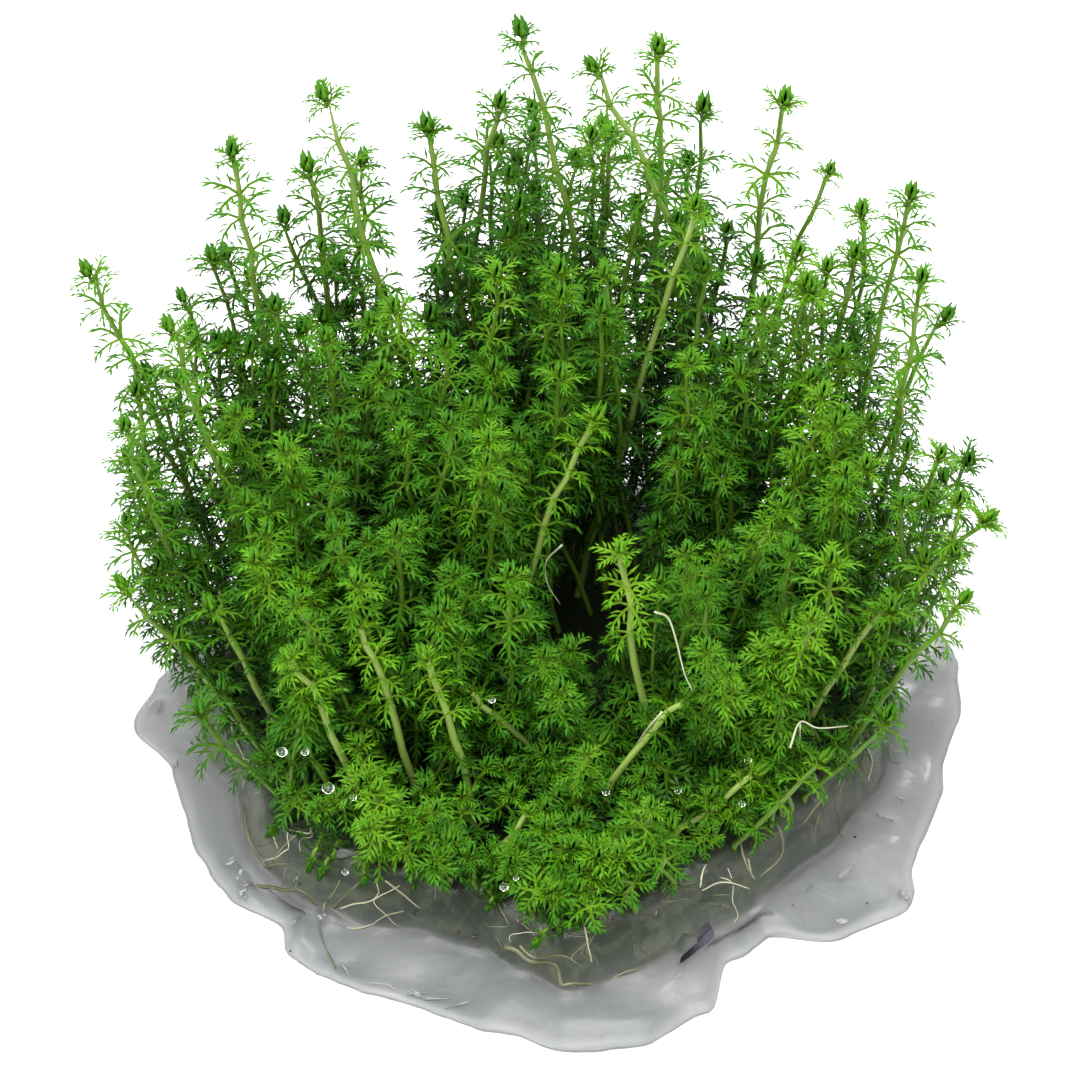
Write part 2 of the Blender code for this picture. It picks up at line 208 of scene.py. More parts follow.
# Painted shade: leaves this far below the top of the clump are painted the deepest green
SHADE_DEPTH = 20.0
# The dark hollow in the middle: from and to across, from and to up the picture, and its floor
HOLLOW = (-1, 11, 19, 36, 11)
# Shoots that stand further back than this show above the hollow
BEHIND_HOLLOW = 10
# Dark gaps between the low shoots: furthest y, width, and the noise below which one opens
GAPS_TO = 12
GAP_WIDTH = 6.5
GAP_LEVEL = -0.24
# Each small shoot's share that is seen where its stem is pale
PALE_SHARES = (0.25, 0.6)
# Small shoots keep this far inside the block's foot; others stand round its edge and hang over its rim
FILLER_INSET = 5.5
CARPET_INSET = 8.0
EDGE_INSETS = (4.0, 10.0)
RIM_INSETS = (4.5, 6.5)
GOLDEN_ANGLE = math.radians(137.508)

# The wet gel lies so close on the floor that no air is under it
FLOOR_LIFT = 0.04
FLOOR_SIZE = 3.0
# Lights: place and width in m, power in W; they all point at the foot of the clump
LIGHTS = (("key", (0.02, -0.06, 0.80), 0.5, 9.3), ("fill", (-0.6, -0.2, 0.5), 0.6, 5),
          ("far_fill", (0.6, -0.1, 0.45), 0.6, 2), ("rim", (0.22, 0.75, 0.42), 0.16, 3))
LIGHT_AIM = Vector((0, 0, 0.02))
SKY_STRENGTH = 0.76

# The camera looks down on the clump at the angle of the photograph, which is 1080 pixels wide
VIEW_TARGET = Vector((-1.0, 0.0, 31.9))
VIEW_DISTANCE = 750
VIEW_ELEVATION = math.radians(45)
VIEW_BACK = Vector((0, -math.cos(VIEW_ELEVATION), math.sin(VIEW_ELEVATION)))
VIEW_UP = Vector((0, math.sin(VIEW_ELEVATION), math.cos(VIEW_ELEVATION)))
VIEW_WIDTH = 110.7
SENSOR = 36
PHOTO_SIZE = 1080

# What lies in and on the gel, at the pixels where the photograph shows it.
# Strands: half width, how pale, pixels along it
STRANDS = (
    (0.25, 0.1, (244, 807), (250, 838), (262, 858), (268, 866), (285, 862), (312, 865)),
    (0.13, 0.2, (297, 835), (288, 842), (272, 862)),
    (0.12, 0.3, (250, 858), (240, 857), (230, 858)),
    (0.25, 0.1, (246, 882), (290, 890), (324, 900), (345, 895), (362, 880)),
    (0.21, 0.1, (340, 850), (341, 870), (338, 885), (328, 905)),
    (0.21, 0.1, (325, 905), (320, 925), (325, 945), (336, 968)),
    (0.10, 0.7, (340, 910), (365, 902), (385, 893), (400, 885)),
    (0.12, 0.4, (332, 922), (355, 928), (378, 922), (404, 910)),
    (0.11, 0.5, (385, 880), (405, 895), (430, 912)),
    (0.28, 0.15, (505, 945), (530, 958), (556, 964), (562, 978), (575, 986), (590, 976), (612, 970),
     (640, 969)),
    (0.12, 0.8, (584, 925), (588, 945), (592, 962)),
    (0.16, 0.2, (520, 945), (548, 957), (575, 962)),
    (0.20, 0.25, (742, 813), (740, 840), (748, 868), (765, 893)),
    (0.20, 0.2, (775, 820), (783, 845), (776, 862), (760, 876)),
    (0.19, 0.15, (822, 798), (803, 822), (783, 838)),
    (0.11, 0.8, (700, 887), (704, 868), (714, 858), (726, 866), (732, 878)),
    (0.10, 0.7, (702, 890), (720, 882), (742, 886), (762, 894)),
    (0.10, 0.6, (748, 858), (752, 876), (758, 884)),
    (0.12, 0.7, (852, 752), (862, 742), (872, 760), (868, 780)))
# Pale roots in the air among the shoots: pixels and height of each point, and their half width
AIR_ROOTS = (
    ((655, 612, 38), (668, 618, 36), (676, 640, 33), (684, 672, 29), (692, 690, 27)),
    ((662, 712, 24), (648, 728, 21), (636, 745, 17)),
    ((562, 545, 30), (546, 562, 27), (548, 585, 24), (560, 604, 21)),
    ((790, 748, 19), (800, 722, 20), (818, 728, 19), (848, 726, 17)),
    ((800, 724, 19), (799, 750, 14), (798, 778, 9)))
AIR_ROOT_RADIUS = 0.12
# Specks: pixels and radius
SPECKS = (
    (899, 737, 0.13), (932, 722, 0.10), (855, 837, 0.14), (886, 844, 0.12), (891, 822, 0.15),
    (893, 819, 0.10), (808, 890, 0.26), (811, 887, 0.18), (805, 893, 0.14), (797, 886, 0.10),
    (798, 879, 0.10), (458, 932, 0.22), (474, 937, 0.26), (741, 890, 0.14), (867, 903, 0.12),
    (720, 905, 0.12), (640, 822, 0.12), (305, 808, 0.16), (296, 825, 0.16), (275, 818, 0.12),
    (291, 951, 0.16), (538, 958, 0.16), (793, 905, 0.10))
# Bubbles in the gel and drops on the stems: pixels, height (0 on the gel) and radius
BUBBLES = (
    (297, 880, 0, 0.75), (237, 868, 0, 0.45), (241, 878, 0, 0.35), (243, 884, 0, 0.4), (240, 891, 0, 0.3),
    (246, 898, 0, 0.35), (324, 915, 0, 0.4), (329, 920, 0, 0.35), (417, 913, 0, 0.35), (282, 752, 24, 0.55),
    (305, 752, 24, 0.4), (328, 788, 15, 0.65), (345, 872, 9, 0.35), (353, 797, 14, 0.4), (606, 792, 15, 0.4),
    (678, 790, 14, 0.4), (504, 887, 13, 0.45), (742, 804, 14, 0.35), (748, 760, 16, 0.4), (653, 862, 12, 0.3),
    (637, 859, 12, 0.3), (516, 878, 13, 0.3), (492, 700, 30, 0.35))
# Pale scuffs on the gel, most of them painted highlights and reflections, a few crushed frosty gel at the
# crack on the left: pixels of the middle, half length and half width, turn in degrees
SCUFFS_AND_HIGHLIGHTS = (
    (298, 922, 1.0, 0.42, 80), (233, 860, 0.8, 0.4, 40), (240, 876, 0.7, 0.32, 75), (244, 892, 0.8, 0.3, 60),
    (160, 712, 1.1, 0.6, 60), (324, 916, 0.55, 0.4, 30), (346, 968, 1.0, 0.2, 120),
    (385, 984, 1.6, 0.16, 165), (425, 996, 2.2, 0.2, 160), (455, 1005, 1.3, 0.15, 10),
    (679, 979, 0.9, 0.3, 50), (841, 920, 0.8, 0.45, 20), (902, 895, 1.0, 0.5, 140),
    (884, 820, 1.2, 0.16, 155), (898, 798, 0.9, 0.18, 150), (848, 872, 1.8, 0.3, 35),
    (926, 655, 1.2, 0.35, 80), (152, 703, 1.1, 0.7, 70), (176, 764, 0.9, 0.2, 60))
# Each scuff is a cluster of shards
SHARDS = 5
SHARD_HEIGHT = 0.14
# Outlines of the tear's slit, a dark sliver of painted shade, and of the clear flap beside it
TEAR_SHADE = (
    (679, 965), (681, 957.5), (684, 954), (690, 950.5), (697, 943.5), (698, 937.5), (703.5, 932),
    (708.5, 927.5), (709.5, 922), (712, 927.5), (714, 931.5), (714, 935), (707.5, 942), (698, 949.5),
    (686, 959.5))
FLAP = ((674.5, 952.5), (677, 945), (683, 933), (686, 933), (692, 938), (700, 936.5), (694, 945), (682, 953))


class Wire:
    """A node socket on which Python's arithmetic adds Math nodes."""

    def __init__(self, graph, socket):
        self.graph = graph
        self.socket = socket

    def out(self, name):
        return Wire(self.graph, self.socket.node.outputs[name])

    def maths(self, operation, *values):
        return self.graph.node("ShaderNodeMath", dict(enumerate(values)), operation=operation)

    def __add__(self, other):
        return self.maths("ADD", self, other)

    def __radd__(self, other):
        return self.maths("ADD", other, self)

    def __sub__(self, other):
        return self.maths("SUBTRACT", self, other)

    def __rsub__(self, other):
        return self.maths("SUBTRACT", other, self)

    def __mul__(self, other):
        return self.maths("MULTIPLY", self, other)

    def __rmul__(self, other):
        return self.maths("MULTIPLY", other, self)

    def __truediv__(self, other):
        return self.maths("DIVIDE", self, other)

    def __pow__(self, other):
        return self.maths("POWER", self, other)

    def clamp(self):
        return self.graph.node("ShaderNodeClamp", {"Value": self})


class Graph:
    """Adds nodes to a tree: one method for every kind of node."""

    def __init__(self, tree):
        self.tree = tree

    def node(self, kind, inputs, **settings):
        made = self.tree.nodes.new(kind)
        for name, value in settings.items():
            setattr(made, name, value)
        for name, value in inputs.items():
            socket = made.inputs[name]
            if isinstance(name, str):
                socket = next(other for other in made.inputs if other.enabled and other.name == name)
            for one in value if isinstance(value, list) else [value]:
                self.feed(socket, one)
        return Wire(self, next((socket for socket in made.outputs if socket.enabled), None))

    def feed(self, socket, value):
        if isinstance(value, Wire):
            self.tree.links.new(value.socket, socket)
        else:
            socket.default_value = value


def pair_at(radius, angle):
    return radius * math.cos(angle), radius * math.sin(angle)


def spot_at(radius, angle, z=0.0):
    return Vector((*pair_at(radius, angle), z))


def outline_radius(outline, angle):
    """Radius of a closed outline at an angle in degrees, eased from one point to the next."""
    first = outline[0][0]
    angle = first + (angle - first) % 360
    points = outline + ((first + 360, outline[0][1]),)
    for (a0, r0), (a1, r1) in zip(points, points[1:]):
        if angle <= a1:
            share = (angle - a0) / (a1 - a0)
            return r0 + (r1 - r0) * share * share * (3 - 2 * share)
    return outline[0][1]


def gel_height(x, y):
    """Height of the gel's top surface over a point, in mm."""
    angle, radius = math.degrees(math.atan2(y, x)), math.hypot(x, y)
    rings = [(outline_radius(line, angle) + out, z) for line, out, z, _ in GEL_RINGS[2:]]
    if radius <= rings[-1][0]:
        return GEL_TOP
    for (r0, z0), (r1, z1) in zip(rings, rings[1:]):
        if radius >= r1:
            return z0 + (z1 - z0) * min(max((r0 - radius) / (r0 - r1), 0), 1)
    return 0.0


def new_object(name, mesh):
    thing = bpy.data.objects.new(name, mesh)
    bpy.context.scene.collection.objects.link(thing)
    return thing


def join_rings(bm, rings):
    for low, high in zip(rings, rings[1:]):
        for i in range(len(low)):
            j = (i + 1) % len(low)
            bm.faces.new((low[i], low[j], high[j], high[i]))


def finish_mesh(name, bm, *materials, smooth=True):
    mesh = bpy.data.meshes.new(name)
    bm.to_mesh(mesh)
    bm.free()
    for material in materials:
        mesh.materials.append(material)
    if smooth:
        mesh.shade_smooth()
    return new_object(name, mesh)


def add_piece(piece, slot, *nodes):
    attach(piece, "root")
    if nodes:
        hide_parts(*nodes)


# Materials


def new_material(name, **values):
    """A Principled material and its graph; values that are the same all over go on the shader."""
    material = bpy.data.materials.new(name)
    material.use_nodes = True
    graph = Graph(material.node_tree)
    shader = material.node_tree.nodes["Principled BSDF"]
    for socket, value in values.items():
        shader.inputs[socket.replace("_", " ")].default_value = value
    return material, graph, shader


def mix_colours(graph, share, low, high):
    mixed = graph.node("ShaderNodeMix", {0: share, 6: low, 7: high}, data_type="RGBA", clamp_factor=True)
    return mixed.out(2)


def paint(graph, shader, share, low, high):
    """Mixes two colours on to the shader."""
    graph.feed(shader.inputs["Base Color"], mix_colours(graph, share, low, high))


def from_attribute(graph, name):
    return graph.node("ShaderNodeAttribute", {}, attribute_name=name).out("Fac")


def on_piece(graph):
    return graph.node("ShaderNodeTexCoord", {}).out("Object")


def mottle(graph, scale, **values):
    return graph.node("ShaderNodeTexNoise", {"Vector": on_piece(graph), "Scale": scale, **values})


def mottled_material(name, scale, low, high, **values):
    """A finish whose colour wanders between two close tones."""
    material, graph, shader = new_material(name, **values)
    paint(graph, shader, mottle(graph, scale), low, high)
    return material


def foliage_material():
    material, graph, shader = new_material("milfoil_leaf", Roughness=0.5, Specular_IOR_Level=0.12)
    tint, reach = from_attribute(graph, "tint"), from_attribute(graph, "reach")
    # The tint carries painted shade and painted light of the clump: its dark end is painted shade, its bright
    # end partly painted light
    green = mix_colours(graph, tint * 2, (0.002, 0.024, 0.001, 1), (0.022, 0.118, 0.003, 1))
    green = mix_colours(graph, tint * 2 - 1, green, (0.074, 0.222, 0.005, 1))
    # Yellower near the stem
    paint(graph, shader, (1 - reach) ** 2 * (tint + 0.2), green, (0.13, 0.24, 0.008, 1))
    return material


def stem_material():
    material, graph, shader = new_material("milfoil_stem", Roughness=0.38, Specular_IOR_Level=0.4)
    streak = mottle(graph, 180.0)
    # The thick bare stems are pale
    pale = (from_attribute(graph, "girth") - 0.95) * 4 + (streak - 0.5) * 0.6
    green = mix_colours(graph, streak, (0.05, 0.13, 0.008, 1), (0.13, 0.24, 0.016, 1))
    paint(graph, shader, pale, green, (0.27, 0.38, 0.075, 1))
    return material


def root_material():
    material, graph, shader = new_material("milfoil_root", Roughness=0.4, Specular_IOR_Level=0.4)
    pale = from_attribute(graph, "tone") + (mottle(graph, 260.0) - 0.5) * 0.7
    paint(graph, shader, pale, (0.045, 0.052, 0.012, 1), (0.50, 0.53, 0.34, 1))
    return material


def tear_shade_material():
    material, graph, shader = new_material("shaded_tear", Roughness=0.4, Specular_IOR_Level=0.15)
    across = graph.node("ShaderNodeSeparateXYZ", {"Vector": on_piece(graph)})
    # Painted shade in the slit: black in its narrow left part, a dull purple grey where it is open
    open_part = across * 700 - 10.2 + (mottle(graph, 500.0) - 0.5)
    paint(graph, shader, open_part, (0.002, 0.002, 0.003, 1), (0.052, 0.048, 0.068, 1))
    return material


def scuff_and_highlight_material():
    material, graph, shader = new_material("crushed_gel", Roughness=0.25, IOR=1.34, Transmission_Weight=0.6)
    # Pale grey to near white: painted highlights, and the pale of crushed gel
    cloud = (mottle(graph, 700.0) - 0.35) * 3
    paint(graph, shader, cloud, (0.40, 0.41, 0.41, 1), (0.66, 0.67, 0.68, 1))
    return material


def drop_material():
    return mottled_material("clear_drop", 200.0, (0.90, 0.95, 0.88, 1), (0.98, 0.99, 0.97, 1),
                            Roughness=0.02, IOR=1.33, Transmission_Weight=1.0)


def gel_material():
    material, graph, shader = new_material("clear_gel", IOR=1.34, Transmission_Weight=0.75)
    cloud = mottle(graph, 75.0)
    skirt = mix_colours(graph, (cloud - 0.35) * 3, (0.205, 0.215, 0.22, 1), (0.325, 0.33, 0.335, 1))
    # Paler away from the front, most of all on the left, where the skirt lies thin on the floor and the
    # clump's shadow falls on it: partly its thinness, partly painted light
    across = graph.node("ShaderNodeSeparateXYZ", {"Vector": on_piece(graph)})
    thin = (across.out("Y") * 40 + 0.9).clamp() * (0.75 - across * 6)
    skirt = mix_colours(graph, thin, skirt, (0.44, 0.45, 0.455, 1))
    # Under the plants the gel turns dark olive: on the wall partly from stem feet and roots and partly
    # painted shade, and on the top under the clump painted shade, near black
    depth = from_attribute(graph, "rooted")
    grain = mottle(graph, 330.0, Detail=3.0, Distortion=1.5)
    wall = mix_colours(graph, (grain - 0.42) * 5, (0.018, 0.034, 0.006, 1), (0.11, 0.135, 0.055, 1))
    wall = mix_colours(graph, depth * 5 - 4, wall, (0.006, 0.010, 0.003, 1))
    # The thin edge is the palest: partly the thin gel, partly painted light against the dark band that
    # refraction shows there
    skirt = mix_colours(graph, -3 * depth, skirt, (0.70, 0.71, 0.72, 1))
    paint(graph, shader, depth, skirt, wall)
    graph.feed(shader.inputs["Roughness"], 0.24 + cloud * 0.16 - 0.06 * depth)
    bump = graph.node("ShaderNodeBump", {"Strength": 0.25, "Distance": 0.0006,
                                         "Height": mottle(graph, 420.0, Detail=3.0)})
    graph.feed(shader.inputs["Normal"], bump)
    return material


# Leaves


def blade(bm, reach, root, tip, width, side, up, sag):
    """A narrow pointed lobe of four faces, widest and highest near its middle."""
    centre = root.lerp(tip, LOBE_MIDDLE) + up * width * LOBE_RIDGE
    points = (root, centre - side * width / 2, centre + side * width / 2, tip - up * sag)
    verts = [bm.verts.new(point) for point in points]
    for vert in verts:
        vert[reach] = vert.co.length
    for corners in ((0, 1, 2), (3, 2, 1), (0, 3, 1), (0, 2, 3)):
        bm.faces.new([verts[i] for i in corners])


def midrib_point(share, rise, fall):
    """The leaf's midrib leaves the stem rising and arches over."""
    return Vector((share * (1 - 0.1 * share), 0, rise * share - fall * share * share))


def make_midrib(bm, reach, rise, fall):
    """A flat-bottomed strip that tapers to the leaf's tip."""
    rings = []
    for share, width in MIDRIB_WIDTHS:
        centre = midrib_point(share, rise, fall)
        corners = (Vector((0, -width / 2, 0)), Vector((0, 0, MIDRIB_HEIGHT)), Vector((0, width / 2, 0)))
        rings.append([bm.verts.new(centre + corner) for corner in corners])
        for vert in rings[-1]:
            vert[reach] = share
    end = bm.verts.new(midrib_point(1.0, rise, fall))
    end[reach] = 1.0
    bm.faces.new(rings[0])
    join_rings(bm, rings)
    for i in range(3):
        bm.faces.new((rings[-1][i], rings[-1][(i + 1) % 3], end))


def make_leaf(name, width, rise, fall, rng):
    """One divided leaf of unit length: a midrib with pairs of narrow lobes."""
    bm = bmesh.new()
    reach = bm.verts.layers.float.new("reach")
    make_midrib(bm, reach, rise, fall)
    for number, share in enumerate(LOBE_PAIRS):
        for hand in (-1, 1):
            spot = share + rng.uniform(-0.05, 0.05)
            root = midrib_point(spot, rise, fall)
            ahead = (midrib_point(spot + 0.05, rise, fall) - root).normalized()
            turn = math.radians(LOBE_SPREAD * rng.uniform(0.8, 1.2) - 6 * number)
            out = ahead * math.cos(turn) + Vector((0, hand, 0)) * math.sin(turn)
            out.z += rng.uniform(-0.10, 0.25)
            out.normalize()
            side = UP.cross(out).normalized()
            size = LOBE_LENGTH * (1.0 - 0.16 * number) * rng.uniform(0.85, 1.12)
            blade(bm, reach, root, root + out * size, width, side, out.cross(side), rng.uniform(0, 0.08))
    bmesh.ops.recalc_face_normals(bm, faces=bm.faces)
    return finish_mesh(name, bm, smooth=False)


def make_bud(name, rng):
    """The tight tip of a shoot, of unit length: closed leaflets round the growing point."""
    bm = bmesh.new()
    reach = bm.verts.layers.float.new("reach")
    for ring, (count, lean, long, width) in enumerate(BUD_RINGS):
        for i in range(count):
            turn = math.radians(360 * i / count + 35 * ring + rng.uniform(-8, 8))
            tilt = math.radians(lean * rng.uniform(0.8, 1.2))
            out = spot_at(1, turn)
            way = out * math.sin(tilt) + Vector((0, 0, math.cos(tilt)))
            side = UP.cross(out)
            blade(bm, reach, way * 0.02, way * long, width, side, side.cross(way), -0.02)
    bmesh.ops.recalc_face_normals(bm, faces=bm.faces)
    return finish_mesh(name, bm)


# Shoots


def bend(start, knee, end):
    """A smooth curve from start to end, for a share from 0 to 1."""
    return lambda t: (1 - t) ** 2 * start + 2 * t * (1 - t) * knee + t * t * end


def centreline(row):
    """A shoot's run from its foot on the block to its tip."""
    foot = Vector((row[0], row[1], 0))
    rim = outline_radius(BLOCK_FOOT, math.degrees(math.atan2(foot.y, foot.x)))
    foot *= min(1, (rim - FOOT_INSET) / foot.length)
    foot.z = GEL_TOP
    tip = Vector(row[2:5])
    knee = foot.lerp(Vector((tip.x, tip.y, GEL_TOP)), row[5])
    knee.z = GEL_TOP + (tip.z - GEL_TOP) * KNEE_HEIGHT
    return bend(foot, knee, tip)


def wandering(line, reach, rng):
    """The same shoot, growing less straight."""
    start = Vector([rng.uniform(0, 99) for _ in range(3)])
    way = Vector((BENDS, 0, 0))
    return lambda t: (line(t) + noise.noise_vector(start + way * t) * reach
                      * math.sin(math.pi * min(t, 0.9)))


def run_length(line, steps=16):
    points = [line(i / steps) for i in range(steps + 1)]
    return sum((b - a).length for a, b in zip(points, points[1:]))


def seen_at(u, v, height=None):
    """Where the camera sees a pixel of the photograph: at a height, or else on the gel."""
    pixel = VIEW_WIDTH / PHOTO_SIZE
    way = Vector(((u - PHOTO_SIZE / 2) * pixel, 0, 0)) + VIEW_UP * (PHOTO_SIZE / 2 - v) * pixel
    way -= VIEW_BACK * VIEW_DISTANCE
    eye = VIEW_TARGET + VIEW_BACK * VIEW_DISTANCE
    z = GEL_TOP if height is None else height
    # Steps towards the gel's surface
    for _ in range(12):
        spot = eye + way * (z - eye.z) / way.z
        if height is not None:
            break
        z += 0.6 * (gel_height(spot.x, spot.y) - z)
    return spot


class Bed:
    """Collects shoots as chains of vertices; each vertex carries what grows there."""

    def __init__(self):
        self.points, self.edges, self.values = [], [], []

    def add_shoot(self, line, pitch, crowding, size, tint, girth, bare, rng):
        length = run_length(line)
        count = max(2, round((length - BUD_LENGTH) / pitch))
        top = 1 - BUD_LENGTH * 0.7 / length
        first_whorl = FIRST_WHORL if crowding < FRONT_CROWDING else FRONT_FIRST_WHORL
        evenly = [(i + first_whorl + rng.uniform(0, 0.3)) / (count + 0.1) for i in range(count)]
        shares = [top * (u + crowding * u * (1 - u)) for u in evenly]
        foot = line(0)
        buried = Vector((foot.x, foot.y, min(gel_height(foot.x, foot.y), foot.z) - BURIED))
        chain = [(spot, UP, 0.0, BARE) for spot in (buried, foot)]
        for share in shares:
            along = (line(share + 0.01) - line(share - 0.01)).normalized()
            sway = Vector([rng.uniform(-1, 1) for _ in range(3)]) * SWAY
            chain.append((line(share) + sway, (along + sway * 0.5).normalized(), share,
                          LEAFY if share > bare else BARE))
        end = (line(1) - line(0.97)).normalized()
        chain.append((line(1) - end * BUD_LENGTH * 0.75, end, 0.95, LEAFY))
        chain.append((line(1) - end * BUD_LENGTH * 0.55, end, 1.0, BUDDING))
        first = len(self.points)
        for point, along, share, grows in chain:
            self.points.append(point * MM)
            # Leaves below the top of the clump get a lower tint: painted shade
            shade = min(max((canopy_height(point.y) - 4 - point.z) / SHADE_DEPTH, 0), 1)
            self.values.append((along, share, grows, size * rng.uniform(0.85, 1.12),
                                tint * (1 - 0.85 * shade), girth))
        self.edges += [(first + i, first + i + 1) for i in range(len(chain) - 1)]

    def object(self, name):
        mesh = bpy.data.meshes.new(name)
        mesh.from_pydata(self.points, self.edges, [])
        kinds = (("along", "FLOAT_VECTOR"), ("share", "FLOAT"), ("grows", "FLOAT"),
                 ("size", "FLOAT"), ("tint", "FLOAT"), ("girth", "FLOAT"))
        for column, (attribute, kind) in enumerate(kinds):
            layer = mesh.attributes.new(attribute, kind, "POINT")
            for item, row in zip(layer.data, self.values):
                if kind == "FLOAT_VECTOR":
                    item.vector = row[column]
                else:
                    item.value = row[column]
        return new_object(name, mesh)


def named(graph, name, kind="FLOAT"):
    return graph.node("GeometryNodeInputNamedAttribute", {"Name": name}, data_type=kind)


def stored(graph, geometry, name, value, domain="INSTANCE"):
    return graph.node("GeometryNodeStoreNamedAttribute",
                      {"Geometry": geometry, "Name": name, "Value": value}, data_type="FLOAT", domain=domain)


def finished(graph, geometry, finish):
    return graph.node("GeometryNodeSetMaterial", {"Geometry": geometry, "Material": finish})


def shoot_tree(name):
    """Grows stems, whorls of leaves and buds on chains of vertices."""
    tree = bpy.data.node_groups.new(name, "GeometryNodeTree")
    sockets = {"Geometry": "Geometry", "Leaves": "Collection", "Buds": "Collection",
               "Leaves in a whorl": "Int", "Leaf length": "Float", "Bud length": "Float",
               "Stem radius": "Float", "Seed": "Int", "Leaf finish": "Material", "Stem finish": "Material"}
    for label, kind in sockets.items():
        tree.interface.new_socket(label, in_out="INPUT", socket_type="NodeSocket" + kind)
    tree.interface.new_socket("Geometry", in_out="OUTPUT", socket_type="NodeSocketGeometry")
    graph = Graph(tree)
    given = graph.node("NodeGroupInput", {})
    chains, seed = given.out("Geometry"), given.out("Seed")
    share, size, tint = named(graph, "share"), named(graph, "size"), named(graph, "tint")
    grows, along = named(graph, "grows"), named(graph, "along", "FLOAT_VECTOR")

    def spots_that_grow(kind):
        chosen = grows.maths("COMPARE", grows, float(kind), 0.1)
        return graph.node("GeometryNodeMeshToPoints", {"Mesh": chains, "Selection": chosen})

    def forms(label):
        return graph.node("GeometryNodeCollectionInfo", {"Collection": given.out(label),
                                                         "Separate Children": True,
                                                         "Reset Children": True})

    def turned(facing, axis, angle):
        turn = graph.node("FunctionNodeAxisAngleToRotation", {"Axis": axis, "Angle": angle})
        return graph.node("FunctionNodeRotateRotation", {"Rotation": facing, "Rotate By": turn},
                          rotation_space="LOCAL")

    # Stems
    girth = given.out("Stem radius") * named(graph, "girth") * (1 - 0.3 * share)
    curve = graph.node("GeometryNodeMeshToCurve", {"Mesh": chains})
    ring = graph.node("GeometryNodeCurvePrimitiveCircle", {"Resolution": 5, "Radius": 1.0})
    stems = graph.node("GeometryNodeCurveToMesh",
                       {"Curve": curve, "Profile Curve": ring, "Scale": girth, "Fill Caps": True})
    stems = finished(graph, stems, given.out("Stem finish"))

    # Whorls: every vertex that grows leaves becomes one point for each leaf
    number = graph.node("GeometryNodeInputIndex", {})
    spots = stored(graph, spots_that_grow(LEAFY), "turn", number * 2.4, "POINT")
    count = given.out("Leaves in a whorl")
    copies = graph.node("GeometryNodeDuplicateElements", {"Geometry": spots, "Amount": count},
                        domain="POINT")
    jitter = graph.node("FunctionNodeRandomValue", {"Min": -1.0, "Max": 1.0, "Seed": seed},
                        data_type="FLOAT")
    step = copies.out("Duplicate Index") * (2 * math.pi) / count
    upright = graph.node("FunctionNodeAlignRotationToVector", {"Vector": along}, axis="Z")
    facing = turned(upright, (0, 0, 1), step + named(graph, "turn") + jitter * 0.22)
    # Young leaves stand up along the stem, old ones spread out and hang
    facing = turned(facing, (0, -1, 0), share ** 7 * 0.8 + jitter * 0.35)
    pick = graph.node("FunctionNodeRandomValue", {"Min": 0, "Max": len(LEAF_FORMS) - 1, "Seed": seed},
                      data_type="INT")
    grown = given.out("Leaf length") * size * (0.9 + 0.2 * share - 0.55 * share ** 9) * (1 + 0.1 * jitter)
    leaves = graph.node("GeometryNodeInstanceOnPoints",
                        {"Points": copies, "Instance": forms("Leaves"), "Pick Instance": True,
                         "Instance Index": pick, "Rotation": facing, "Scale": grown})
    # Leaves get a higher tint towards the shoot's tip: painted light on the top whorls
    leaves = stored(graph, leaves, "tint", tint + jitter * 0.07 + share ** 5 * 0.35)

    # Buds
    buds = graph.node("GeometryNodeInstanceOnPoints",
                      {"Points": spots_that_grow(BUDDING), "Instance": forms("Buds"),
                       "Pick Instance": True, "Rotation": upright, "Scale": given.out("Bud length") * size})
    buds = stored(graph, buds, "tint", tint * 0.6 + 0.34)
    green = graph.node("GeometryNodeJoinGeometry", {"Geometry": [leaves, buds]})
    green = finished(graph, green, given.out("Leaf finish"))
    whole = graph.node("GeometryNodeJoinGeometry", {"Geometry": [stems, green]})
    whole = graph.node("GeometryNodeRealizeInstances", {"Geometry": whole})
    graph.node("NodeGroupOutput", {"Geometry": whole})
    return tree


def grow(bed, name, tree, values):
    """Runs the tree on a bed of chains and keeps the result as a plain mesh."""
    chains = bed.object(name + "_chains")
    modifier = chains.modifiers.new("grow", "NODES")
    modifier.node_group = tree
    for item in tree.interface.items_tree:
        if item.in_out == "INPUT" and item.name in values:
            modifier[item.identifier] = values[item.name]
    bpy.context.view_layer.update()
    depsgraph = bpy.context.evaluated_depsgraph_get()
    mesh = bpy.data.meshes.new_from_object(chains.evaluated_get(depsgraph))
    mesh.name = name
    bpy.data.objects.remove(chains, do_unlink=True)
    return new_object(name, mesh)


def canopy_height(y):
    for (y0, z0), (y1, z1) in zip(CANOPY, CANOPY[1:]):
        if y <= y1:
            return z0 + (z1 - z0) * max(y - y0, 0) / (y1 - y0)
    return CANOPY[-1][1]


def clearing_share(line):
    """Up to which share a shoot crosses the dark hollow; 0 if it doesn't."""
    left, right, low, high, ground = HOLLOW
    points = [(i / 20, line(i / 20)) for i in range(4, 21)]
    return max([share for share, p in points
                if left < p.x < right and low < p.y + p.z < high and p.z > ground], default=0)


def in_dark_gap(x, y):
    """The low parts of the clump are patchy: no small shoots stand in these gaps."""
    return y < GAPS_TO and noise.noise(Vector((x / GAP_WIDTH, y / GAP_WIDTH, 2.3))) < GAP_LEVEL


def open_views():
    """Points on the bare stems: across, up the picture, and towards the camera."""
    rows = [row for rows in BEDS.values() for row in rows]
    runs = [(rows[number - 1], low, high) for number, (low, high) in BARE_STEMS.items()]
    runs += [(row, *PALE_SHARES) for row in PALE_SHOOTS]
    spots = []
    for row, low, high in runs:
        points = [centreline(row)(low + (high - low) * i / 8) for i in range(9)]
        spots += [(p.x, p.y + p.z, p.z - p.y) for p in points]
    return spots


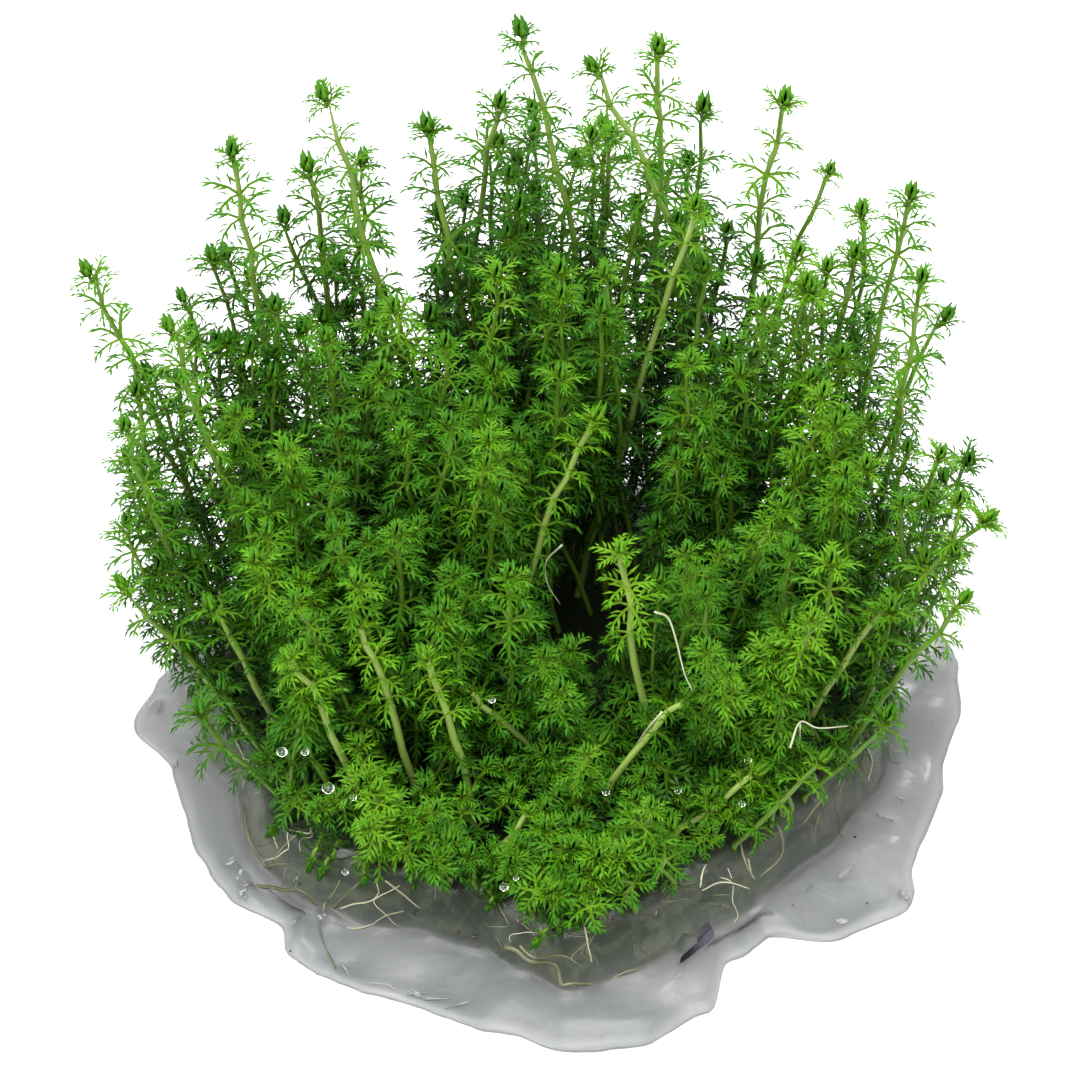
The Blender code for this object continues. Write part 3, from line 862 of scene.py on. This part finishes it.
def hides_stem(line, spots):
    """True where a shoot would stand between the camera and a bare stem."""
    for i in range(1, 13):
        p = line(i / 12)
        for x, up, near in spots:
            if max(abs(p.x - x), abs(p.y + p.z - up)) < STEM_CLEARANCE and p.z - p.y > near:
                return True
    return False


def over_the_block(x, y):
    """Keeps a tip over the block's top: in front the wall of the block shows below the plants."""
    angle, radius = math.atan2(y, x), math.hypot(x, y)
    near_front = math.exp(-((math.degrees(angle) + 100) / 25) ** 2)
    radius = min(radius, outline_radius(BLOCK_FOOT, math.degrees(angle)) - 6 + 3 * near_front)
    return pair_at(radius, angle)


def filler_row(x, y, rng):
    """One smaller shoot, leaning out of the clump the more, the nearer it is to the edge."""
    radius, angle = math.hypot(x, y), math.atan2(y, x)
    full = canopy_height(y)
    height = GEL_TOP + (full - GEL_TOP) * rng.choice(FILLER_HEIGHTS)
    lean = (radius / 33) ** 2 * rng.uniform(0.05, 0.28) * (height + 4)
    sway = min(7.0, height * 0.24)
    tip_x = x + lean * math.cos(angle) + rng.uniform(-sway, sway)
    tip_y = y + lean * math.sin(angle) * (0.35 if y > 0 else 0.4) + rng.uniform(-sway, sway)
    if y < 4:
        tip_x, tip_y = over_the_block(tip_x, tip_y)
    return (x, y, tip_x, tip_y, max(height, 13), rng.uniform(0.2, 1.3))


def spiral_spots(count, inset, rng):
    """Evenly spaced spots over the block's top."""
    for number in range(count):
        angle = GOLDEN_ANGLE * number
        edge = outline_radius(BLOCK_FOOT, math.degrees(angle) % 360 - 180)
        radius = (edge - inset) * math.sqrt((number + 0.5) / count)
        x, y = pair_at(radius, angle)
        yield x + rng.uniform(-1, 1), y + rng.uniform(-1, 1)


def filler_rows(rng):
    """The smaller shoots between the main ones: over the block, and thicker round its edge."""
    spots = list(spiral_spots(FILLERS, FILLER_INSET, rng))
    for number in range(EDGE_FILLERS):
        # More of them stand at the left and right than at the back
        round_it = 2 * math.pi * (number + rng.uniform(-0.5, 0.5)) / EDGE_FILLERS
        angle = 90 + 130 * (round_it / math.pi - 1) + 14 * math.sin(2 * round_it)
        radius = outline_radius(BLOCK_FOOT, angle) - rng.uniform(*EDGE_INSETS)
        spots.append(pair_at(radius, math.radians(angle)))
    taken = [(row[0], row[1]) for rows in BEDS.values() for row in rows]
    views = open_views()
    made = []
    for x, y in spots:
        line = wandering(centreline(filler_row(x, y, rng)), WANDER, rng)
        if min(math.hypot(x - a, y - b) for a, b in taken) < FOOT_SPACING or in_dark_gap(x, y):
            continue
        hollow = clearing_share(line)
        if hides_stem(line, views) or hollow and (y < BEHIND_HOLLOW or hollow > 0.6 or rng.random() < 0.4):
            continue
        taken.append((x, y))
        made.append(line)
    return made


def carpet_rows(rng):
    """The low shoots that cover the gel between the feet of the others."""
    made = []
    for x, y in spiral_spots(CARPET, CARPET_INSET, rng):
        height = min(canopy_height(y) * rng.uniform(0.42, 0.62), 28)
        lean = rng.uniform(-3.0, 3.0), rng.uniform(-4.0, 1.0)
        tip = over_the_block(x + lean[0], y + lean[1])
        row = (x, y, *tip, max(height, rng.uniform(11.5, 15.5)), rng.uniform(0.2, 0.8))
        line = wandering(centreline(row), WANDER * 0.5, rng)
        if not clearing_share(line):
            made.append(line)
    return made


def rim_rows(rng):
    """Old dark shoots that hang over the edge of the block and cling to its wet wall."""
    made = []
    for number in range(RIM_SHOOTS):
        angle = 290 * (number + rng.uniform(-0.4, 0.4)) / RIM_SHOOTS - 10
        edge = outline_radius(BLOCK_FOOT, angle)
        across = spot_at(1, math.radians(angle))
        foot = across * (edge - rng.uniform(*RIM_INSETS)) + Vector((0, 0, GEL_TOP - 0.5))
        tip = across * (edge - rng.uniform(0.5, 2.0)) + Vector((0, 0, rng.uniform(4.5, 7.5)))
        tip += across.cross(UP) * rng.uniform(-5, 5)
        made.append(bend(foot, foot.lerp(tip, 0.5) + Vector((0, 0, 2.0)), tip))
    return made


def bed_at(x, y):
    """The bed that a small shoot belongs to, by its foot."""
    if y > 14:
        return "back"
    if abs(x) > 22 and y > -16:
        return "side"
    return "middle" if y > -9 else "front"


def shoot_tint(x, y, rng):
    """Lighter at the front and the right, deeper green towards the back and never very dark at the edges:
    painted light and shade of the clump, with random patches of tone.
    """
    patch = noise.noise(Vector((x / 11, y / 11, 5.1)))
    # The slopes in x and y and the floor at the edges are painted light and shade; the noise patch and the
    # jitter are random tone
    tint = 0.46 + 0.007 * max(x, 0) - 0.005 * (y + 10) + 0.6 * patch + rng.uniform(-0.2, 0.2)
    return max(tint, 0.012 * (math.hypot(x, y) - 12))


def move_to(group, thing):
    group.objects.link(thing)
    bpy.context.scene.collection.objects.unlink(thing)


def make_forms(rng):
    """The leaves and buds that the shoots bear, each kind in a collection of its own."""
    fine, plain, tips = [bpy.data.collections.new(name) for name in ("fine_leaves", "plain_leaves", "buds")]
    for group in (fine, plain, tips):
        bpy.context.scene.collection.children.link(group)
    for number, (rise, fall) in enumerate(LEAF_FORMS):
        for group, width in ((fine, FINE_LOBE_WIDTH), (plain, LOBE_WIDTH)):
            move_to(group, make_leaf(f"leaf_{group.name}_{number}", width, rise, fall, rng))
    for number in range(BUD_FORMS):
        move_to(tips, make_bud(f"bud_{number}", rng))
    return fine, plain, tips


def make_foliage(leaf_finish, stem_finish):
    rng = random.Random(SEED)
    fine, plain, tips = make_forms(rng)
    tree = shoot_tree("shoots")
    values = {"Buds": tips, "Leaves in a whorl": LEAVES, "Leaf length": LEAF_LENGTH * MM,
              "Bud length": BUD_LENGTH * MM, "Stem radius": STEM_RADIUS * MM,
              "Leaf finish": leaf_finish, "Stem finish": stem_finish}
    pale = [centreline(row) for row in PALE_SHOOTS]
    hanging = rim_rows(rng)
    bulging = [wandering(centreline(row), 0.5 * WANDER, rng) for row in BULGE_SHOOTS]
    small_shoots = pale + hanging + bulging + filler_rows(rng) + carpet_rows(rng)
    groups = {name: [] for name in BEDS}
    for line in small_shoots:
        groups[bed_at(line(0).x, line(0).y)].append(line)
    first = 1
    for number, (name, rows) in enumerate(BEDS.items()):
        main = Bed()
        halves = {"left": Bed(), "right": Bed()}
        for offset, row in enumerate(rows):
            bare = BARE_STEMS.get(first + offset, (0, 0))[1]
            tint = shoot_tint(row[2], row[3], rng) + (0.35 if bare else 0.12)
            girth = BARE_GIRTH if bare else 1.05 if name == "back" else 0.92
            pitch = WHORL_PITCH[name]
            if bare > LEAFY_STEM:
                bare, pitch = 0, 1.5 * pitch
            main.add_shoot(centreline(row), pitch, CROWDING[name], MAIN_SIZE * LEAF_SIZE[name], tint, girth,
                           bare, rng)
        for line in groups[name]:
            tint, girth = shoot_tint(line(1).x, line(1).y, rng), rng.uniform(0.65, 0.9)
            bare = max(0.12, clearing_share(line))
            size = rng.uniform(0.85, 1.1)
            if line in pale:
                tint, bare, girth = 0.8, 0.55, BARE_GIRTH
            if line in hanging:
                tint, size = rng.uniform(0.05, 0.35), rng.uniform(0.5, 0.75)
            half = halves["left" if line(0).x < 0 else "right"]
            half.add_shoot(line, rng.uniform(0.8, 1.1) * (WHORL_PITCH[name] + 0.3), CROWDING[name],
                           size * LEAF_SIZE[name], tint, girth, bare, rng)
        nodes = [f"shoot_{first + i:02d}" for i in range(len(rows))]
        first += len(rows)
        values["Seed"] = number
        values["Leaves"] = fine if name in ("front", "middle") else plain
        add_piece(grow(main, f"{name}_main_shoots", tree, values), f"foliage_{name}", *nodes)
        values["Leaves"] = fine if name == "front" else plain
        for side, half in halves.items():
            add_piece(grow(half, f"{name}_{side}_small_shoots", tree, values), f"foliage_{name}")
    for group in (fine, plain, tips):
        for thing in list(group.objects):
            bpy.data.objects.remove(thing, do_unlink=True)
        bpy.data.collections.remove(group)
    bpy.data.node_groups.remove(tree)


# Gel pad


def fold_height(x, y):
    total = 0.0
    for x0, y0, x1, y1, width, height in GEL_FOLDS:
        run = Vector((x1 - x0, y1 - y0))
        share = min(max(Vector((x - x0, y - y0)).dot(run) / run.length_squared, 0), 1)
        gap = math.hypot(x - x0 - run.x * share, y - y0 - run.y * share)
        total += height * math.exp(-(gap / width) ** 2)
    return total


def ring_spot(ring, angle):
    line, out, height, _ = ring
    radius = outline_radius(line, math.degrees(angle)) + out
    if line is SKIRT_EDGE:
        for depth, level, fineness in RAGGED_EDGE:
            radius += depth * noise.noise(spot_at(1, angle, level) * fineness)
    return spot_at(radius, angle, height)


def gel_point(low, high, share, angle):
    """A point of the gel's surface between two rings, with its folds and waves."""
    point = ring_spot(low, angle).lerp(ring_spot(high, angle), share)
    # The underside and the thin edge stay flat on the floor
    firm = min(point.z / 0.8, 1.0) ** 2
    point.z += firm * sum(high * noise.noise(point / long) for high, long in GEL_WAVES)
    point.z += firm * fold_height(point.x, point.y)
    point.z = max(point.z, 0.0)
    return point


def make_gel(finish):
    bm = bmesh.new()
    # How dark the gel is painted: roots and painted shade under the clump, and below 0 paler at the thin edge
    # as painted light
    rooted = bm.verts.layers.float.new("rooted")
    rings = []
    for low, high in zip(GEL_RINGS, GEL_RINGS[1:]):
        steps = GEL_STEPS if low[1] > FLAT_TOP else 2 * GEL_STEPS
        for share in [step / steps for step in range(steps)]:
            verts = [bm.verts.new(gel_point(low, high, share, 2 * math.pi * i / GEL_SEGMENTS) * MM)
                     for i in range(GEL_SEGMENTS)]
            for vert in verts:
                vert[rooted] = low[3] + (high[3] - low[3]) * share
            rings.append(verts)
    join_rings(bm, rings)
    for ring, height in ((rings[0], 0.0), (rings[-1], GEL_TOP)):
        cap = bm.faces.new(ring)
        middle = bmesh.ops.poke(bm, faces=[cap])["verts"][0]
        middle.co = Vector((0, 0, height * MM))
        middle[rooted] = float(height > 0)
    bmesh.ops.recalc_face_normals(bm, faces=bm.faces)
    add_piece(finish_mesh("gel", bm, finish), "gel", "gel_pad")


# Roots, specks, bubbles and the tear


def tube(bm, tone, points, radius, pale, sides=8):
    """A strand through a smooth run of points, thinning to its far end."""
    points = [p for p, q in zip(points, points[1:]) if (q - p).length > 1e-6] + [points[-1]]
    rings = []
    for i, point in enumerate(points):
        along = (points[min(i + 1, len(points) - 1)] - points[max(i - 1, 0)]).normalized()
        side = along.cross(UP).normalized()
        thick = radius * (1 - 0.55 * i / len(points)) * (1 + 0.18 * noise.noise(point * 0.9))
        rings.append([])
        for k in range(sides):
            spoke = Matrix.Rotation(2 * math.pi * k / sides, 4, along) @ side
            rings[-1].append(bm.verts.new((point + thick * spoke) * MM))
            rings[-1][-1][tone] = pale
    bm.faces.new(rings[0])
    bm.faces.new(rings[-1][::-1])
    for low, high in zip(rings, rings[1:]):
        for k in range(sides):
            bm.faces.new((low[k], high[k], high[(k + 1) % sides], low[(k + 1) % sides]))


def smooth_run(points, steps=6):
    """Points of a Catmull-Rom curve through the given ones."""
    ends = [points[0] * 2 - points[1]] + list(points) + [points[-1] * 2 - points[-2]]
    made = []
    for p0, p1, p2, p3 in zip(ends, ends[1:], ends[2:], ends[3:]):
        for i in range(steps):
            t = i / steps
            made.append(0.5 * (2 * p1 + (p2 - p0) * t + (2 * p0 - 5 * p1 + 4 * p2 - p3) * t * t
                               + (3 * p1 - p0 - 3 * p2 + p3) * t ** 3))
    return made + [points[-1]]


def wall_root(rng):
    """A fine root that wanders down the wall of the block and out over the skirt."""
    angle = rng.uniform(-math.pi, math.pi)
    drift = rng.uniform(-0.5, 0.5)
    reach = rng.uniform(0.5, 1.0)
    start = Vector((angle * 5, 0, 0))
    run = []
    for i in range(WALL_ROOT_POINTS):
        share = i / (WALL_ROOT_POINTS - 1) * reach
        angle += 0.02 * drift + 0.035 * noise.noise(start + Vector((share * 7, 3.3, 0)))
        radius = outline_radius(BLOCK_FOOT, math.degrees(angle)) - WALL_ROOT_INSET + WALL_ROOT_RUN * share
        point = spot_at(radius, angle)
        wave = 0.12 * noise.noise(start + Vector((share * 9, 0, 7.7)))
        point.z = gel_height(point.x, point.y) - WALL_ROOT_DEPTH + wave
        run.append(point)
    return run


def make_roots(finish):
    bm = bmesh.new()
    tone = bm.verts.layers.float.new("tone")
    for radius, pale, *pixels in STRANDS:
        run = smooth_run([seen_at(u, v) for u, v in pixels])
        for point in run:
            sunk = 0.5 + 0.5 * noise.noise(point * 0.35 + Vector((radius * 50, 0, 0)))
            point.z = max(gel_height(point.x, point.y) - radius * 1.6 * sunk, radius)
        tube(bm, tone, run, radius, pale)
    rng = random.Random(SEED + 2)
    for _ in range(WALL_ROOTS):
        tube(bm, tone, wall_root(rng), rng.uniform(0.05, 0.11), rng.choice((0.0, 0.15, 0.3, 0.75)), sides=5)
    for pixels in AIR_ROOTS:
        tube(bm, tone, smooth_run([seen_at(*spot) for spot in pixels]), AIR_ROOT_RADIUS, 0.8)
    bmesh.ops.recalc_face_normals(bm, faces=bm.faces)
    add_piece(finish_mesh("roots", bm, finish), "root", *[f"root_{i + 1}" for i in range(ROOT_SOLIDS)])


def make_specks(finish):
    rng = random.Random(SEED + 1)
    bm = bmesh.new()
    for u, v, size in SPECKS:
        spot = seen_at(u, v)
        made = bmesh.ops.create_icosphere(bm, subdivisions=2, radius=size * MM)["verts"]
        stretch = Vector((rng.uniform(0.7, 1.4), rng.uniform(0.7, 1.4), 0.6))
        for vert in made:
            shift = 0.35 * noise.noise(vert.co / (size * MM) * 1.3 + Vector((u, v, 0)))
            vert.co = Vector([a * b for a, b in zip(vert.co * (1 + shift), stretch)]) + spot * MM
    add_piece(finish_mesh("specks", bm, finish), "root")


def make_bubbles(finish):
    bm = bmesh.new()
    for u, v, height, radius in BUBBLES:
        spot = seen_at(u, v, height or None)
        place = Matrix.Translation((spot + Vector((0, 0, 0 if height else 0.15 * radius))) * MM)
        bmesh.ops.create_uvsphere(bm, u_segments=20, v_segments=14, radius=radius * MM,
                                  matrix=place @ Matrix.Diagonal((1, 1, 0.8, 1)))
    add_piece(finish_mesh("bubbles_and_drops", bm, finish), "gel")


def slab(name, pixels, finish, lift, sink):
    """A thin closed sliver that follows the gel, with its outline given in pixels."""
    bm = bmesh.new()
    top = [seen_at(u, v) for u, v in pixels]
    centre = sum(top, Vector()) / len(top)
    upper = [bm.verts.new((p + Vector((0, 0, 0.02))) * MM) for p in top]
    lower = [bm.verts.new((p - Vector((0, 0, sink))) * MM) for p in top]
    crown = bm.verts.new((centre + Vector((0, 0, lift))) * MM)
    for i in range(len(top)):
        j = (i + 1) % len(top)
        bm.faces.new((upper[i], upper[j], crown))
        bm.faces.new((upper[i], lower[i], lower[j], upper[j]))
    bm.faces.new(lower[::-1])
    bmesh.ops.recalc_face_normals(bm, faces=bm.faces)
    add_piece(finish_mesh(name, bm, finish, smooth=False), "gel")


def make_scuffs_and_highlights(finish):
    """Clusters of low pale shards: painted highlights and reflections on the gel, and crushed pale gel at the
    crack on the left.
    """
    rng = random.Random(SEED + 3)
    bm = bmesh.new()
    for u, v, long, wide, turn in SCUFFS_AND_HIGHLIGHTS:
        middle = seen_at(u, v)
        lie = Matrix.Rotation(math.radians(turn), 4, "Z")
        for _ in range(SHARDS):
            spot = middle + lie @ Vector((rng.uniform(-0.6, 0.6) * long, rng.uniform(-0.5, 0.5) * wide, 0))
            spot.z = gel_height(spot.x, spot.y) + fold_height(spot.x, spot.y) * 0.9
            part = rng.uniform(0.3, 0.65)
            askew = Matrix.Rotation(math.radians(turn + rng.uniform(-30, 30)), 4, "Z")
            shape = Matrix.Diagonal((long * part, wide * part, SHARD_HEIGHT, 1))
            made = bmesh.ops.create_uvsphere(bm, u_segments=14, v_segments=8, radius=MM,
                                             matrix=Matrix.Translation(spot * MM) @ askew @ shape)["verts"]
            for vert in made:
                vert.co += (vert.co - spot * MM) * 0.6 * noise.noise(vert.co * 2600)
    add_piece(finish_mesh("gel_scuffs", bm, finish), "gel")


# Stage


def make_stage():
    bm = bmesh.new()
    bmesh.ops.create_grid(bm, x_segments=1, y_segments=1, size=FLOOR_SIZE)
    finish = mottled_material("pale_floor", 40.0, (0.77, 0.77, 0.77, 1), (0.81, 0.81, 0.81, 1),
                              Roughness=0.9)
    floor = finish_mesh("floor", bm, finish, smooth=False)
    floor.location.z = FLOOR_LIFT * MM
    for name, place, width, power in LIGHTS:
        lamp = bpy.data.lights.new(name, "AREA")
        lamp.size = width
        lamp.energy = power
        thing = new_object(name, lamp)
        thing.location = place
        thing.rotation_euler = (LIGHT_AIM - Vector(place)).to_track_quat("-Z", "Y").to_euler()
    world = bpy.data.worlds.new("studio")
    bpy.context.scene.world = world
    world.use_nodes = True
    sky = world.node_tree.nodes["Background"]
    sky.inputs["Color"].default_value = (1, 1, 1, 1)
    sky.inputs["Strength"].default_value = SKY_STRENGTH


def make_camera():
    lens = bpy.data.cameras.new("camera")
    lens.sensor_width = SENSOR
    lens.lens = SENSOR * VIEW_DISTANCE / VIEW_WIDTH
    lens.clip_start = 0.01
    camera = new_object("camera", lens)
    away = VIEW_BACK * VIEW_DISTANCE * MM
    camera.location = VIEW_TARGET * MM + away
    camera.rotation_euler = (-away).to_track_quat("-Z", "Y").to_euler()
    bpy.context.scene.camera = camera


make_camera()
make_stage()
make_foliage(foliage_material(), stem_material())
make_gel(gel_material())
make_roots(root_material())
make_specks(mottled_material("dark_speck", 900.0, (0.010, 0.008, 0.006, 1), (0.05, 0.035, 0.02, 1),
                             Roughness=0.6))
make_bubbles(drop_material())
make_scuffs_and_highlights(scuff_and_highlight_material())
# The tear's slit is a dark sliver of painted shade on the gel
slab("tear", TEAR_SHADE, tear_shade_material(), 0.1, 0.5)
slab("torn_flap", FLAP, drop_material(), 0.8, 0.4)
bpy.context.scene.view_settings.view_transform = "Standard"
